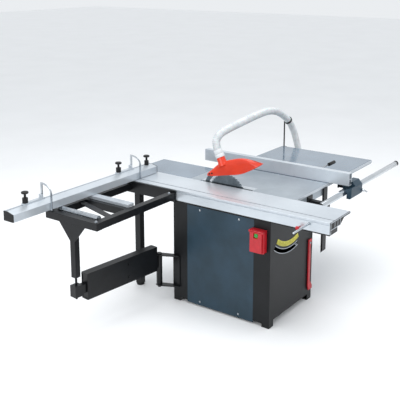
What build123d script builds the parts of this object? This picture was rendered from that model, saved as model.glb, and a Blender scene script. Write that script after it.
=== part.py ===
from build123d import *
import os
from math import atan2, cos, degrees, hypot, radians, sin, sqrt, tan

# Sliding table panel saw, in millimetres.
# Origin: on the floor under the middle of the cabinet.
# +X runs from the sliding table across to the rip fence, +Y is the feed direction, +Z is up.

# ---------------------------------------------------------------- driving dimensions
TABLE_Z = 865.0            # height of every working surface
CABINET_W = 616.0
CABINET_D = 818.0
CABINET_WALL = 4.0
FLOOR_PLATE_Z = 46.0       # underside of the cabinet's floor plate
FOOT = 60.0                # width of each corner foot
FOOT_PLATE_T = 5.0
FLOOR_HOLE_R = 6.0
SIDE_ARCH = 26.0           # height of the gap between the feet, on the sides
BEAM_SEAT_Z = 770.0        # top of the low part, where the fixed beam lies
TABLE_SEAT_Z = 815.0       # top of the high part, where the cast table lies
HIGH_X = -188.0            # where the high part of the cabinet begins
RUN = 0.05                 # radial clearance of a running fit
NEAR = 0.3                 # gap between faces that slide past each other
TOUCH = 1.0                # gap between pieces that only pass

PANEL_T = 2.0
PANEL_Y = (-278.0, 284.0)
PANEL_Z = (14.0, 762.0)
SCREW_INSET_Y = (114.0, 118.0)
SCREW_INSET_Z = (27.0, 22.0)
SCREW_R = 3.0
SCREW_HEAD_R = 7.0

CAST_X = (-46.0, 440.0)
CAST_Y = (-447.0, 445.0)
CAST_T = 12.0
RIB_T = 16.0
SKIRT_Z = 790.0
WING_X1 = 1265.0           # right end of the side table
WING_Y = (-446.0, 396.0)
REAR_Y1 = 967.0            # far end of the outfeed table
REAR_X1 = 286.0
SHEET_T = 3.0
SHEET_DEPTH = 30.0

BLADE_X = -30.0
BLADE_R = 157.5
BLADE_T = 3.2
ARBOR_Y = 126.0
ARBOR_DROP = 75.0          # arbor centre below the table
ARBOR_R = 15.0
FLANGE_R = 32.0
PIVOT_Y = -120.0           # where the rise and fall arm turns
PIVOT_Z = 700.0
TEETH = 40
SLOT_X = (-46.0, 16.0)     # opening for the blade in the cast table
SLOT_Y = (-90.0, 348.0)
INSERT_T = 6.0
INSERT_X0 = -24.0
LEDGE = 10.0
MOTOR_Y = -40.0
MOTOR_Z = 545.0
MOTOR_R = 72.0
PULLEY_X = (95.0, 125.0)
TRUNNION_R = (80.0, 110.0)
TRUNNION_T = 16.0
TRUNNION_FRONT_Y = -200.0
TRUNNION_REAR_Y = 360.0
RISE_R = 368.0             # from the tilt axis to the rise and fall shaft
RISE_ANGLE = 12.0
RISE_SLOT_W = 24.0
RISE_SHAFT_R = 8.0
RISE_BOSS = 12.0           # length of the shaft's bearing, short of the swinging arm

HOOD_HALF = 24.0
HOOD_WALL = 2.5
NECK_R = 31.0
NECK_WALL = 3.0
HOSE_R = 30.0

BEAM_X = (-318.0, -204.0)
BEAM_Y = (-835.0, 830.0)
BEAM_TOP = 811.0
CARRIAGE_X = (-338.0, -48.0)
CARRIAGE_Y = (-855.0, 832.0)
CARRIAGE_UNDER = 815.0
CARRIAGE_SKIRT = 786.0
CAP_T = 6.0

TUBE = 50.0                # square tube of the outrigger
TUBE_WALL = 3.0
OUT_X0 = -1160.0
OUT_Y = (362.0, 820.0)
OUT_TOP = 845.0
REST_TOP = 866.0
ROLLER_X = -1078.0
ROLLER_R = 20.0
ROLLER_BORE = 6.0
REST_X = (-800.0, -742.0)
PLATE_T = 14.0
LEG_TUBE = 42.0
LEG_Y = 582.0
LEG_BOTTOM = 426.0

HINGE = (-372.0, 496.0)    # swing arm's hinge pin
HINGE_PIN_R = 12.0
BARREL_R = 22.0
ARM_Z = (246.0, 432.0)
ARM_HALF = 31.0
ARM_WALL = 4.0
ARM_START = 50.0
ARM_END = 702.0
BAR_Z = (300.0, 360.0)
BAR_HALF = 20.0
LEG_PIN_R = 8.0
BRACKET_Z = (112.0, 356.0)

FENCE_X = (-1495.0, -72.0)
FENCE_Y = (749.0, 838.0)
FENCE_Z = (868.0, 932.0)
FENCE_WALL = 3.0
FENCE_PIVOT = (-128.0, 788.0)
STOP_X = (-1186.0, -292.0)
STOP_KNOB_X = (-1330.0, -436.0)

RAIL_Y = -587.0
RAIL_Z = 817.0
RAIL_R = 21.0
RAIL_X = (60.0, 1449.0)
RIP_X = 458.0
RIP_W = 45.0
RIP_H = 94.0
RIP_Y = (-614.0, 669.0)

ROOM = CABINET_W / 2 - CABINET_WALL
ARBOR_Z = TABLE_Z - ARBOR_DROP
WALL_X = CABINET_W / 2
WALL_Y = CABINET_D / 2


# ---------------------------------------------------------------- helpers
def block(x0, x1, y0, y1, z0, z1):
    return Pos((x0 + x1) / 2, (y0 + y1) / 2, (z0 + z1) / 2) * Box(x1 - x0, y1 - y0, z1 - z0)


def bar(start, end, radius):
    """A round bar from one point to another."""
    start, end = Vector(start), Vector(end)
    along = end - start
    low = (Align.CENTER, Align.CENTER, Align.MIN)
    return Plane(origin=start, z_dir=along) * Cylinder(radius, along.length, align=low)


def pipe(start, end, outer, inner):
    return bar(start, end, outer) - bar(start, end, inner)


def prism_x(points, x0, x1):
    """A (y, z) outline carried from x0 to x1."""
    face = make_face(Polyline(*points, close=True))
    return extrude(Plane(origin=(x0, 0, 0), x_dir=(0, 1, 0), z_dir=(1, 0, 0)) * face, x1 - x0)


def prism_y(points, y0, y1):
    """An (x, z) outline carried from y0 to y1."""
    face = make_face(Polyline(*points, close=True))
    return extrude(Plane(origin=(0, y1, 0), x_dir=(1, 0, 0), z_dir=(0, -1, 0)) * face, y1 - y0)


def prism_z(points, z0, z1):
    """An (x, y) outline carried from z0 to z1."""
    face = make_face(Polyline(*points, close=True))
    return extrude(Pos(0, 0, z0) * face, z1 - z0)


def tube_x(x0, x1, y0, z0, side, wall):
    outer = block(x0, x1, y0, y0 + side, z0, z0 + side)
    return outer - block(x0, x1, y0 + wall, y0 + side - wall, z0 + wall, z0 + side - wall)


def tube_y(y0, y1, x0, z0, side, wall):
    outer = block(x0, x0 + side, y0, y1, z0, z0 + side)
    return outer - block(x0 + wall, x0 + side - wall, y0, y1, z0 + wall, z0 + side - wall)


def tube_z(z0, z1, x0, y0, side, wall):
    outer = block(x0, x0 + side, y0, y0 + side, z0, z1)
    return outer - block(x0 + wall, x0 + side - wall, y0 + wall, y0 + side - wall, z0, z1)


def arc_band(inner, outer, low, high, y0, y1):
    """Part of a ring about the tilt axis. Angles are from straight down, positive towards +X."""
    middle, half = (low + high) / 2, (high - low) / 2
    ring = bar((BLADE_X, y0, TABLE_Z), (BLADE_X, y1, TABLE_Z), outer)
    ring -= bar((BLADE_X, y0, TABLE_Z), (BLADE_X, y1, TABLE_Z), inner)
    reach = outer * 2.2
    span = reach * tan(radians(half))
    wedge = prism_y([(0, 0), (-span, -reach), (span, -reach)], y0, y1)
    return ring & (Pos(BLADE_X, 0, TABLE_Z) * Rot(0, -middle, 0) * wedge)


def tilt_point(radius, angle):
    """A point at a radius and angle about the tilt axis, as x and z."""
    return BLADE_X + radius * sin(radians(angle)), TABLE_Z - radius * cos(radians(angle))


def save(name, *pieces):
    solids = [s for p in pieces for s in p.solids()]
    shape = solids[0] if len(solids) == 1 else Compound(children=solids)
    export_step(shape, f"parts/{name}.step")


# ---------------------------------------------------------------- cabinet and what is fixed to it
def panel_screw_places():
    for z in (PANEL_Z[0] + SCREW_INSET_Z[0], PANEL_Z[1] - SCREW_INSET_Z[1]):
        yield PANEL_Y[0] + SCREW_INSET_Y[1], z
        yield PANEL_Y[1] - SCREW_INSET_Y[0], z


MOTOR_COVER_Y = (40.0, 360.0)
MOTOR_COVER_Z = (100.0, 700.0)
COVER_LAP = 20.0
PORT_Y = -60.0
PORT_Z = 600.0
PORT_OUT = 37.0
OUTLET_R = 60.0
OUTLET_X = 90.0
OUTLET_Z = 160.0
OUTLET_OUT = 55.0
WHEEL_Y = -300.0
WHEEL_Z = 560.0
SHAFT_R = 9.0


def cabinet():
    wall = CABINET_WALL
    outer = block(-WALL_X, WALL_X, -WALL_Y, WALL_Y, 0, BEAM_SEAT_Z)
    outer += block(HIGH_X, WALL_X, -WALL_Y, WALL_Y, BEAM_SEAT_Z, TABLE_SEAT_Z)
    room = block(-ROOM, ROOM, -WALL_Y + wall, WALL_Y - wall, FLOOR_PLATE_Z + wall, BEAM_SEAT_Z - wall)
    room += block(HIGH_X + wall, ROOM, -WALL_Y + wall, WALL_Y - wall, 400, TABLE_SEAT_Z)
    under = block(-ROOM, ROOM, -WALL_Y + wall, WALL_Y - wall, 0, FLOOR_PLATE_Z)
    shell = outer - room - under
    gap_x = WALL_X - FOOT
    gap_y = WALL_Y - FOOT
    shell -= block(-gap_x, gap_x, -WALL_Y, WALL_Y, 0, FLOOR_PLATE_Z)
    shell -= block(-WALL_X, WALL_X, -gap_y, gap_y, 0, SIDE_ARCH)
    for sx in (-1, 1):
        for sy in (-1, 1):
            x = sorted((sx * WALL_X, sx * gap_x))
            y = sorted((sy * WALL_Y, sy * gap_y))
            pad = block(*x, *y, 0, FOOT_PLATE_T)
            shell += pad
            cx, cy = sum(x) / 2, sum(y) / 2
            shell -= bar((cx, cy, 0), (cx, cy, FOOT_PLATE_T), FLOOR_HOLE_R)
    shell -= block(-WALL_X, -WALL_X + PANEL_T, *PANEL_Y, PANEL_Z[0], PANEL_Z[1])
    shell -= block(-WALL_X, -ROOM, PANEL_Y[0] + 40, PANEL_Y[1] - 40, PANEL_Z[0] + 60, PANEL_Z[1] - 50)
    for y, z in panel_screw_places():
        shell -= bar((-WALL_X, y, z), (-ROOM, y, z), SCREW_R + RUN)
    front = (-WALL_Y, -WALL_Y + wall)
    half = RISE_SLOT_W / 2
    shell -= arc_band(RISE_R - half, RISE_R + half, RISE_ANGLE - 49, RISE_ANGLE + 4, *front)
    side = (ROOM, WALL_X)
    lap = COVER_LAP
    shell -= block(*side, MOTOR_COVER_Y[0] + lap, MOTOR_COVER_Y[1] - lap,
                   MOTOR_COVER_Z[0] + lap, MOTOR_COVER_Z[1] - lap)
    shell -= bar((ROOM, PORT_Y, PORT_Z), (WALL_X, PORT_Y, PORT_Z), HOSE_R - NECK_WALL)
    shell -= bar((ROOM, WHEEL_Y, WHEEL_Z), (WALL_X, WHEEL_Y, WHEEL_Z), SHAFT_R + RUN)
    shell -= bar((OUTLET_X, WALL_Y - wall, OUTLET_Z), (OUTLET_X, WALL_Y, OUTLET_Z), OUTLET_R - 3)
    return shell


def side_panel():
    plate = block(-WALL_X, -WALL_X + PANEL_T, *PANEL_Y, *PANEL_Z)
    for y, z in panel_screw_places():
        plate -= bar((-WALL_X, y, z), (-WALL_X + PANEL_T, y, z), SCREW_R + RUN)
    return plate


def panel_screws():
    for y, z in panel_screw_places():
        head = bar((-WALL_X - 3, y, z), (-WALL_X, y, z), SCREW_HEAD_R)
        yield head + bar((-WALL_X, y, z), (-WALL_X + 12, y, z), SCREW_R)


def tilt_scale():
    return arc_band(300, 335, -36, 20, -WALL_Y - 2, -WALL_Y)


def motor_cover():
    x0, x1 = WALL_X, WALL_X + 22
    tray = block(x0, x1, *MOTOR_COVER_Y, *MOTOR_COVER_Z)
    tray -= block(x0, x1 - 2, MOTOR_COVER_Y[0] + 2, MOTOR_COVER_Y[1] - 2,
                  MOTOR_COVER_Z[0] + 2, MOTOR_COVER_Z[1] - 2)
    for n in range(6):
        z = MOTOR_COVER_Z[0] + 120 + 26 * n
        tray -= block(x1 - 2, x1, MOTOR_COVER_Y[0] + 60, MOTOR_COVER_Y[1] - 60, z, z + 8)
    return tray


def dust_port():
    x = WALL_X
    flange = block(x, x + SHEET_T, PORT_Y - 45, PORT_Y + 45, PORT_Z - 45, PORT_Z + 45)
    flange -= bar((x, PORT_Y, PORT_Z), (x + SHEET_T, PORT_Y, PORT_Z), HOSE_R - NECK_WALL)
    return flange + pipe((x + SHEET_T, PORT_Y, PORT_Z), (x + PORT_OUT, PORT_Y, PORT_Z),
                         HOSE_R, HOSE_R - NECK_WALL)


def dust_outlet():
    y = WALL_Y
    inner = OUTLET_R - 3
    flange = block(OUTLET_X - 80, OUTLET_X + 80, y, y + 4, OUTLET_Z - 80, OUTLET_Z + 80)
    flange -= bar((OUTLET_X, y, OUTLET_Z), (OUTLET_X, y + 4, OUTLET_Z), inner)
    return flange + pipe((OUTLET_X, y + 4, OUTLET_Z), (OUTLET_X, y + OUTLET_OUT, OUTLET_Z),
                         OUTLET_R, inner)


# ---------------------------------------------------------------- switch
SWITCH_Y = (-380.0, -270.0)
SWITCH_Z = (550.0, 708.0)
SWITCH_T = 42.0
FLAP_T = 12.0
BUTTON_R = 13.0
START_Z = 672.0
STOP_Z = 610.0
SWITCH_MID = (SWITCH_Y[0] + SWITCH_Y[1]) / 2
FLAP_WINDOW = 18.0


def switch_box():
    x0 = -WALL_X - SWITCH_T
    body = block(x0, -WALL_X, *SWITCH_Y, *SWITCH_Z)
    body -= block(x0 + 3, -WALL_X, SWITCH_Y[0] + 3, SWITCH_Y[1] - 3, SWITCH_Z[0] + 3, SWITCH_Z[1] - 3)
    for z in (START_Z, STOP_Z):
        body -= bar((x0, SWITCH_MID, z), (x0 + 3, SWITCH_MID, z), BUTTON_R + RUN)
    for y in (SWITCH_Y[0], SWITCH_Y[1] - 8):
        ear = block(x0 - 14, x0, y, y + 8, SWITCH_Z[1] - 14, SWITCH_Z[1])
        body += ear - bar((x0 - 7, y, SWITCH_Z[1] - 7), (x0 - 7, y + 8, SWITCH_Z[1] - 7), 3)
    return body


def switch_flap():
    x1 = -WALL_X - SWITCH_T - TOUCH
    y0, y1 = SWITCH_Y[0] + 8 + TOUCH, SWITCH_Y[1] - 8 - TOUCH
    z1 = SWITCH_Z[1] - 7
    lid = block(x1 - FLAP_T, x1, y0, y1, SWITCH_Z[0] + 4, z1 - 6)
    lid -= block(x1 - FLAP_T + 3, x1, y0 + 3, y1 - 3, SWITCH_Z[0] + 4, z1 - 9)
    window = FLAP_WINDOW
    lid -= block(x1 - FLAP_T, x1, SWITCH_MID - window, SWITCH_MID + window,
                 START_Z - window, START_Z + window)
    neck = block(x1 - 8, x1 - 4, y0, y1, z1 - 7, z1 - 4)
    axle = bar((x1 - 6, SWITCH_Y[0] + NEAR, z1), (x1 - 6, SWITCH_Y[1] - NEAR, z1), 3 - RUN)
    knuckle = bar((x1 - 6, y0, z1), (x1 - 6, y1, z1), 5)
    return lid + neck + knuckle + axle


def button(z):
    x0 = -WALL_X - SWITCH_T
    cap = bar((x0 - 8, SWITCH_MID, z), (x0 + 3, SWITCH_MID, z), BUTTON_R)
    rear = x0 + 3 + NEAR
    return cap + bar((x0 + 3, SWITCH_MID, z), (rear, SWITCH_MID, z), BUTTON_R) \
        + bar((rear, SWITCH_MID, z), (rear + 3, SWITCH_MID, z), BUTTON_R + 3)


# ---------------------------------------------------------------- push stick on the front
STICK_X = (232.0, 262.0)
STICK_Z = (84.0, 480.0)
STICK_T = 9.0


def push_stick():
    y0 = -WALL_Y - 4 - STICK_T
    x0, x1 = STICK_X
    z0, z1 = STICK_Z
    outline = [(x0, z1), (x0, z0 + 40), (x0 + 12, z0), (x1 + 34, z0), (x1 + 34, z0 + 26),
               (x1, z0 + 70), (x1, z1 - 40), (x1 + 14, z1 - 8), (x1 + 10, z1)]
    stick = prism_y(outline, y0, y0 + STICK_T)
    hole = ((x0 + x1) / 2, z1 - 24)
    return stick - bar((hole[0], y0, hole[1]), (hole[0], y0 + STICK_T, hole[1]), 7)


def stick_hook():
    x, z = (STICK_X[0] + STICK_X[1]) / 2, STICK_Z[1] - 24
    y = -WALL_Y
    peg = bar((x, y - 4 - STICK_T - 6, z), (x, y, z), 7 - NEAR)
    return peg + bar((x, y - 3, z), (x, y, z), 12)


# ---------------------------------------------------------------- tables
def cast_table():
    x0, x1 = CAST_X
    y0, y1 = CAST_Y
    under = TABLE_Z - CAST_T
    table = block(x0, x1, y0, y1, under, TABLE_Z)
    table += block(x0, x1, y0, y0 + 12, SKIRT_Z, under)
    table += block(x0, x1, y1 - 12, y1, TABLE_SEAT_Z, under)
    table += block(x1 - 12, x1, y0, y1, SKIRT_Z, under)
    half = RIB_T / 2
    for y in (-WALL_Y, WALL_Y):
        table += block(x0, x1, y - half, y + half, TABLE_SEAT_Z, under)
    table += block(WALL_X - half, WALL_X + half, y0, y1, TABLE_SEAT_Z, under)
    table += block(160, 160 + RIB_T, y0, y1, TABLE_SEAT_Z, under)
    table += block(160, x1, -half, half, TABLE_SEAT_Z, under)
    for y in (TRUNNION_FRONT_Y, TRUNNION_REAR_Y):
        table += block(16, 80, y - 4, y + TRUNNION_T + 4, TABLE_SEAT_Z, under)
    table -= block(SLOT_X[0], SLOT_X[1], *SLOT_Y, under, TABLE_Z)
    table -= block(SLOT_X[0], SLOT_X[1] + LEDGE, SLOT_Y[0] - LEDGE, SLOT_Y[1] + LEDGE,
                   TABLE_Z - INSERT_T, TABLE_Z)
    return table


def table_insert():
    gap = 0.5
    x1 = SLOT_X[1] + LEDGE - gap
    y0, y1 = SLOT_Y[0] - LEDGE + gap, SLOT_Y[1] + LEDGE - gap
    plate = block(INSERT_X0, x1, y0, y1, TABLE_Z - INSERT_T, TABLE_Z)
    for y in (y0 + 12, y1 - 12):
        plate -= bar((x1 - 6, y, TABLE_Z - 2), (x1 - 6, y, TABLE_Z), 3.5)
    return plate


def folded_table(x0, x1, y0, y1, ribs):
    z0, z1 = TABLE_Z - SHEET_DEPTH, TABLE_Z
    sheet = block(x0, x1, y0, y1, z0, z1)
    sheet -= block(x0 + SHEET_T, x1 - SHEET_T, y0 + SHEET_T, y1 - SHEET_T, z0, z1 - SHEET_T)
    for rx0, rx1, ry0, ry1 in ribs:
        sheet += block(rx0, rx1, ry0, ry1, z0, z1 - SHEET_T)
    return sheet


ARM_TUBE = 40.0
WING_TUBES_Y = (-300.0, 230.0)


def side_table():
    ribs = [(CAST_X[1] + SHEET_T, WING_X1 - SHEET_T, y + 5, y + 35) for y in WING_TUBES_Y]
    return folded_table(CAST_X[1], WING_X1, *WING_Y, ribs)


def wing_tubes():
    z0 = TABLE_Z - SHEET_DEPTH - ARM_TUBE
    for y in WING_TUBES_Y:
        yield tube_x(CAST_X[1], WING_X1 - 60, y, z0, ARM_TUBE, TUBE_WALL)


REAR_BRACKETS_X = (40.0, 230.0)


def outfeed_table():
    ribs = [(x - 4, x + 14, CAST_Y[1] + SHEET_T, REAR_Y1 - SHEET_T) for x in REAR_BRACKETS_X]
    return folded_table(CAST_X[0], REAR_X1, CAST_Y[1], REAR_Y1, ribs)


def outfeed_brackets():
    top = TABLE_Z - SHEET_DEPTH
    low = TABLE_SEAT_Z - 160
    for x in REAR_BRACKETS_X:
        web = prism_x([(WALL_Y, low), (WALL_Y + 30, low), (REAR_Y1 - 120, top - 30),
                       (REAR_Y1 - 120, top), (CAST_Y[1] + 1, top), (CAST_Y[1] + 1, TABLE_SEAT_Z - 4),
                       (WALL_Y, TABLE_SEAT_Z - 4)], x, x + 8)
        yield web + block(x - 20, x + 28, WALL_Y, WALL_Y + 6, low, TABLE_SEAT_Z - 20)


STRIP_T = 5.0


def scale_strips():
    z0, z1 = 844, 863
    yield block(CAST_X[0], CAST_X[1], CAST_Y[0] - STRIP_T, CAST_Y[0], z0, z1)
    yield block(CAST_X[1], WING_X1, WING_Y[0] - STRIP_T - 1, WING_Y[0], z0, z1)


# ---------------------------------------------------------------- rip fence and its rail
RAIL_BRACKETS_X = (140.0, 640.0)


def rail():
    return bar((RAIL_X[0], RAIL_Y, RAIL_Z), (RAIL_X[1], RAIL_Y, RAIL_Z), RAIL_R)


def rail_caps():
    for x0, x1 in ((RAIL_X[0] - 5, RAIL_X[0]), (RAIL_X[1], RAIL_X[1] + 5)):
        yield bar((x0, RAIL_Y, RAIL_Z), (x1, RAIL_Y, RAIL_Z), RAIL_R + 1)


def rail_brackets():
    for x in RAIL_BRACKETS_X:
        back = CAST_Y[0] if x < CAST_X[1] else WING_Y[0]
        arm = block(x, x + 40, RAIL_Y - 14, back, RAIL_Z - 32, RAIL_Z - 2)
        arm += block(x - 15, x + 55, back - 10, back, RAIL_Z - 32, 843)
        yield arm - bar((x, RAIL_Y, RAIL_Z), (x + 40, RAIL_Y, RAIL_Z), RAIL_R + RUN)


def front_post():
    x = 368.0
    y0, y1 = CAST_Y[0] - 14, CAST_Y[0]
    low = 344.0
    post = block(x, x + 58, y0, y1, low, 843)
    return post - prism_x([(y0, low), (y1, low), (y0, low + 14)], x, x + 58)


HEAD_X = (RIP_X + RIP_W + 1, 615.0)
HEAD_LOW_X = 425.0          # left end of the part that passes under the fence
HEAD_Y = (-650.0, -545.0)
HEAD_Z = (780.0, 890.0)


def rip_head():
    x0, x1 = HEAD_X
    y0, y1 = HEAD_Y
    z0, z1 = HEAD_Z
    outline = [(y0, z0 + 10), (y0 + 10, z0), (RAIL_Y - RAIL_R - 4, z0), (RAIL_Y - RAIL_R - 4, RAIL_Z + 6),
               (y1, RAIL_Z + 6), (y1, z1 - 30), (y1 - 30, z1), (y0 + 30, z1), (y0, z1 - 34)]
    head = prism_x(outline, x0, x1)
    low = [(y, min(z, TABLE_Z - TOUCH)) for y, z in outline[:5]] + [(y0, TABLE_Z - TOUCH)]
    head += prism_x(low, HEAD_LOW_X, x0)
    head -= bar((HEAD_LOW_X, RAIL_Y, RAIL_Z), (x1, RAIL_Y, RAIL_Z), RAIL_R + NEAR)
    arm_z = TABLE_Z + TOUCH
    head += block(x0, x0 + 40, y1 - 10, -290, arm_z, z1)
    return head


def rip_fence():
    """A hollow extrusion with one web and a clamping slot along its right side."""
    x0, x1 = RIP_X, RIP_X + RIP_W
    z0 = TABLE_Z + TOUCH
    z1 = z0 + RIP_H
    t = 3.5
    body = block(x0, x1, *RIP_Y, z0, z1)
    mid = (z0 + z1) / 2
    body -= block(x0 + t, x1 - t, *RIP_Y, z0 + t, mid - t / 2)
    body -= block(x0 + t, x1 - t, *RIP_Y, mid + t / 2, z1 - t)
    body -= block(x1 - t, x1, *RIP_Y, z0 + 10, z0 + 18)
    return body


def rip_fence_bolts():
    z = TABLE_Z + TOUCH + 14
    for y in (-500, -330):
        shank = bar((RIP_X + RIP_W - 1, y, z), (HEAD_X[0], y, z), 3)
        yield shank + bar((RIP_X + RIP_W - 8, y, z), (RIP_X + RIP_W - 4, y, z), 6) \
            + bar((RIP_X + RIP_W - 5, y, z), (RIP_X + RIP_W, y, z), 3)


LEVER_Y = -345.0
LEVER_X = HEAD_X[0] + 20.0


def rip_lever_post():
    z1 = HEAD_Z[1]
    return bar((LEVER_X, LEVER_Y, z1), (LEVER_X, LEVER_Y, z1 + 62), 7) \
        + bar((LEVER_X, LEVER_Y, z1), (LEVER_X, LEVER_Y, z1 + 34), 12)


def rip_lever():
    z = HEAD_Z[1] + 50
    hub = pipe((LEVER_X, LEVER_Y, z - 9), (LEVER_X, LEVER_Y, z + 9), 15, 7 + RUN)
    arm = bar((LEVER_X + 12, LEVER_Y, z), (LEVER_X + 150, LEVER_Y, z), 5.5)
    return hub + arm


def rip_lever_grip():
    z = HEAD_Z[1] + 50
    return bar((LEVER_X + 150, LEVER_Y, z), (LEVER_X + 245, LEVER_Y, z), 13)


LOCK_X = 600.0
LOCK_Z = 812.0


def rip_lock():
    y = HEAD_Y[0]
    stub = bar((LOCK_X, y - 22, LOCK_Z), (LOCK_X, y - NEAR, LOCK_Z), 11)
    arm = bar((LOCK_X, y - 14, LOCK_Z), (LOCK_X + 70, y - 14, LOCK_Z - 30), 6)
    return stub + arm


# ---------------------------------------------------------------- sliding table
def beam():
    x0, x1 = BEAM_X
    outer = block(x0, x1, *BEAM_Y, BEAM_SEAT_Z, BEAM_TOP)
    middle = (x0 + x1) / 2
    for a, b in ((x0 + 4, middle - 2), (middle + 2, x1 - 4)):
        outer -= block(a, b, *BEAM_Y, BEAM_SEAT_Z + 4, BEAM_TOP - 4)
    for x in (x0 + 16, x1 - 28):
        outer += block(x, x + 12, *BEAM_Y, BEAM_TOP, CARRIAGE_UNDER - NEAR)
    return outer


def beam_caps():
    for y0, y1 in ((BEAM_Y[0] - 4, BEAM_Y[0]), (BEAM_Y[1], BEAM_Y[1] + 4)):
        yield block(*BEAM_X, y0, y1, BEAM_SEAT_Z, BEAM_TOP)


def beam_leg():
    x = sum(BEAM_X) / 2 + 11 - TUBE / 2
    y = BEAM_Y[1] - 20 - TUBE
    return tube_z(12, BEAM_SEAT_Z, x, y, TUBE, TUBE_WALL) + block(x, x + TUBE, y, y + TUBE, 12, 16)


def beam_foot():
    x = sum(BEAM_X) / 2 + 11
    y = BEAM_Y[1] - 20 - TUBE / 2
    return bar((x, y, 0), (x, y, 12), 30)


LIP_X = -143.0
LIP_Z = 853.0
KEEL_X = -196.0


def carriage_outline():
    x0, x1 = CARRIAGE_X
    return [(x0, TABLE_Z), (x1, TABLE_Z), (x1, LIP_Z), (LIP_X, LIP_Z - 2), (KEEL_X, CARRIAGE_UNDER),
            (x0 + 12, CARRIAGE_UNDER), (x0 + 12, CARRIAGE_SKIRT), (x0, CARRIAGE_SKIRT)]


def carriage():
    y0, y1 = CARRIAGE_Y[0] + CAP_T, CARRIAGE_Y[1] - CAP_T
    x0 = CARRIAGE_X[0]
    body = prism_y(carriage_outline(), y0, y1)
    for a, b in ((x0 + 16, x0 + 58), (x0 + 62, x0 + 100), (x0 + 104, KEEL_X - 2)):
        body -= block(a, b, y0, y1, CARRIAGE_UNDER + 4, TABLE_Z - 4)
    body -= prism_y([(KEEL_X + 4, CARRIAGE_UNDER + 10), (KEEL_X + 4, TABLE_Z - 5), (LIP_X + 4, TABLE_Z - 5),
                     (LIP_X - 2, LIP_Z + 2)], y0, y1)
    body -= block(x0, x0 + 7, y0, y1, TABLE_Z - 20, TABLE_Z - 11)
    body -= block(x0 + 58, x0 + 66, y0, y1, TABLE_Z - 4, TABLE_Z)
    body -= block(x0 + 56, x0 + 68, y0, y1, TABLE_Z - 12, TABLE_Z - 4)
    return body


def carriage_caps():
    for y0, y1 in ((CARRIAGE_Y[0], CARRIAGE_Y[0] + CAP_T), (CARRIAGE_Y[1] - CAP_T, CARRIAGE_Y[1])):
        yield prism_y(carriage_outline(), y0, y1)


HANDLE_Y = -706.0
HANDLE_Z = 838.0


def push_handle():
    x = CARRIAGE_X[0]
    return bar((x, HANDLE_Y, HANDLE_Z - 6), (x - 14, HANDLE_Y, HANDLE_Z - 6), 11) \
        + bar((x - 14, HANDLE_Y, HANDLE_Z - 6), (x - 20, HANDLE_Y, HANDLE_Z - 6), 8)


def handle_rod():
    x = CARRIAGE_X[0] - 20
    return bar((x, HANDLE_Y, HANDLE_Z - 6), (x - 190, HANDLE_Y, HANDLE_Z - 6), 6)


KNOB_Y = -640.0
KNOB_Z = 800.0


def lock_knob():
    x = CARRIAGE_X[0]
    stem = bar((x - NEAR, KNOB_Y, KNOB_Z), (x - 26, KNOB_Y, KNOB_Z), 5)
    ball = Pos(x - 37, KNOB_Y, KNOB_Z) * Rot(0, 90, 0) * Sphere(13)
    return stem + (ball - block(x - 26, x, KNOB_Y - 14, KNOB_Y + 14, KNOB_Z - 14, KNOB_Z + 14))


# ---------------------------------------------------------------- outrigger
LEG_X = OUT_X0 + LEG_TUBE / 2
OUT_X1 = CARRIAGE_X[0] - PLATE_T
OUT_Z = OUT_TOP - TUBE


def outrigger_frame():
    y0, y1 = OUT_Y
    inner0, inner1 = y0 + TUBE, y1 - TUBE
    yield tube_x(OUT_X0 + TUBE, OUT_X1, y0, OUT_Z, TUBE, TUBE_WALL)
    yield tube_x(OUT_X0 + TUBE, OUT_X1, inner1, OUT_Z, TUBE, TUBE_WALL)
    yield tube_y(y0, y1, OUT_X0, OUT_Z, TUBE, TUBE_WALL)
    yield tube_y(inner0, inner1, REST_X[0] - 34, OUT_Z, TUBE, TUBE_WALL)
    yield block(OUT_X1, CARRIAGE_X[0], y0 - 4, y1 + 10, 774, 860)


def tube_ends():
    for y0, y1 in ((OUT_Y[0] - 4, OUT_Y[0]), (OUT_Y[1], OUT_Y[1] + 4)):
        yield block(OUT_X0, OUT_X0 + TUBE, y0, y1, OUT_Z, OUT_TOP)


def rest_bar():
    top = block(*REST_X, OUT_Y[0] + TUBE, OUT_Y[1] - TUBE, OUT_TOP, REST_TOP)
    for x in (REST_X[0] + 14, REST_X[0] + 33, REST_X[0] + 52):
        top -= block(x, x + 4, OUT_Y[0] + TUBE, OUT_Y[1] - TUBE, REST_TOP - 4, REST_TOP)
    return top


ROLLER_Z = REST_TOP - ROLLER_R
ROLLER_Y = (OUT_Y[0] + TUBE + 6, OUT_Y[1] - TUBE - 6)


def roller_brackets():
    for y0, y1 in ((OUT_Y[0] + TUBE, OUT_Y[0] + TUBE + 5), (OUT_Y[1] - TUBE - 5, OUT_Y[1] - TUBE)):
        plate = block(ROLLER_X - 16, ROLLER_X + 16, y0, y1, OUT_Z, ROLLER_Z + 10)
        yield plate - bar((ROLLER_X, y0, ROLLER_Z), (ROLLER_X, y1, ROLLER_Z), ROLLER_BORE)


def roller_axle():
    y0, y1 = OUT_Y[0] + TUBE, OUT_Y[1] - TUBE
    return bar((ROLLER_X, y0, ROLLER_Z), (ROLLER_X, y1, ROLLER_Z), ROLLER_BORE - RUN)


def roller():
    tube = bar((ROLLER_X, ROLLER_Y[0], ROLLER_Z), (ROLLER_X, ROLLER_Y[1], ROLLER_Z), ROLLER_R)
    return tube - bar((ROLLER_X, ROLLER_Y[0], ROLLER_Z), (ROLLER_X, ROLLER_Y[1], ROLLER_Z), ROLLER_BORE)


def outrigger_brace():
    z0, z1 = OUT_TOP - 16, OUT_TOP - 8
    a, b = OUT_Y[0] + TUBE, OUT_Y[1] - TUBE
    return prism_z([(-895, b), (-850, b), (-958, a), (-1003, a)], z0, z1)


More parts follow.
